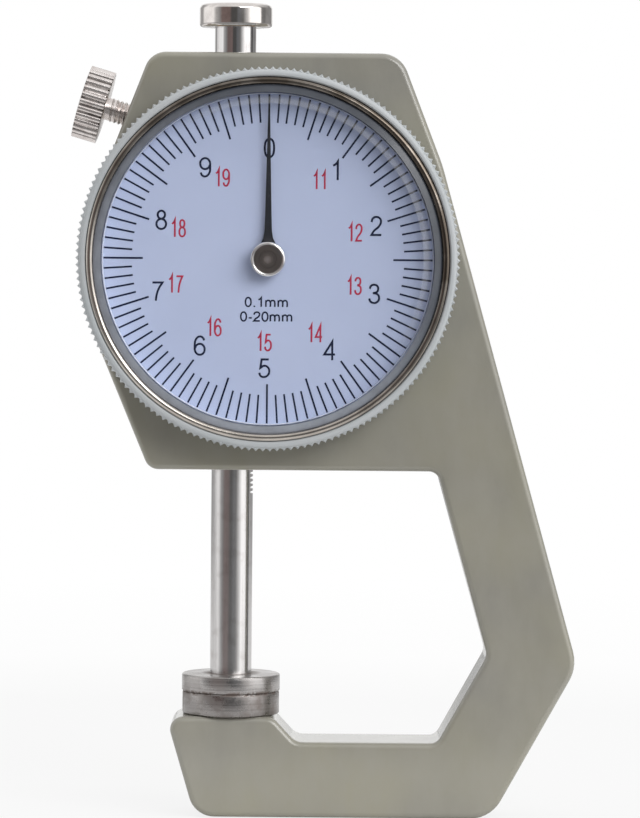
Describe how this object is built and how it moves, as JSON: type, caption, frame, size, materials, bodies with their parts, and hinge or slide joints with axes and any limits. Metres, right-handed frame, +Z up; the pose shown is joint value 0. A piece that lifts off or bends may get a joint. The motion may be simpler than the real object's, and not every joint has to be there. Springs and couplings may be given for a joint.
{
  "type": "dial thickness gauge",
  "caption": "Dial thickness gauge: a cast C-frame with a flat anvil below a round spindle, whose rack drives a pointer over a rotating knurled dial.",
  "frame": {"origin": "point on the flat underside of the frame, under the spindle axis, midway between its faces", "axes": "+Z up along the spindle, +X towards the bow of the C-frame, -Y the way the dial faces"},
  "size_m": [0.053, 0.0151, 0.0849],
  "materials": {
    "painted_casting": "silver-grey hammer-smooth paint on a cast frame",
    "hardened_steel": "ground, with fine turning lines and a little rust",
    "ground_steel": "ground and polished",
    "spring_steel": "bright wire",
    "nickel": "polished nickel plate",
    "bronze": "turned bronze",
    "brass": "turned brass",
    "bezel_plastic": "light grey moulded plastic, satin",
    "dial_enamel": "pale blue matt enamel on thin sheet",
    "clear_plastic": "clear polished acrylic",
    "pointer_black": "matt black"
  },
  "bodies": {
    "frame": {"frame": "painted_casting", "anvil": "hardened_steel", "upper_bush": "bronze", "lower_bush": "bronze", "arbor_rear_bush": "brass", "arbor_front_bush": "brass", "bridge_plate": "brass", "bridge_screws": "ground_steel", "spring_post": "ground_steel", "return_spring": "spring_steel"},
    "spindle": {"spindle": "ground_steel", "foot": "hardened_steel", "lift_cap": "nickel", "guide_pin": "ground_steel"},
    "pointer": {"arbor": "ground_steel", "pointer": "pointer_black", "pointer_hub": "nickel"},
    "bezel": {"bezel": "bezel_plastic", "dial_plate": "dial_enamel", "crystal": "clear_plastic", "trim_ring": "nickel"},
    "lock_pad": {"lock_pad": "brass"},
    "lock_screw": {"lock_screw": "nickel"}
  },
  "joints": [
    {"name": "spindle_slide", "type": "slide", "parent": "frame", "child": "spindle", "axis": [0, 0, 1], "range_m": [0, 0.02], "stiffness_N_per_m": 30, "springref_m": -0.03, "deforming": ["return_spring"]},
    {"name": "pointer_turn", "type": "hinge", "parent": "frame", "child": "pointer", "pos_m": [0.00363, 0, 0.0583], "axis": [0, 1, 0], "range_deg": [0, 720]},
    {"name": "bezel_turn", "type": "hinge", "parent": "frame", "child": "bezel", "pos_m": [0.00363, 0, 0.0583], "axis": [0, 1, 0], "continuous": true},
    {"name": "lock_feed", "type": "slide", "parent": "frame", "child": "lock_pad", "axis": [0.9588, 0, -0.284], "range_m": [-0.0009, 0.00015]},
    {"name": "lock_turn", "type": "hinge", "parent": "lock_pad", "child": "lock_screw", "pos_m": [0, 0, 0.06985], "axis": [0.9588, 0, -0.284], "range_deg": [-722, 122]}
  ],
  "couplings": [
    {"joint": "pointer_turn", "follows": "spindle_slide", "rad_per_m": 628.32},
    {"joint": "lock_turn", "follows": "lock_feed", "rad_per_m": 13963}
  ]
}
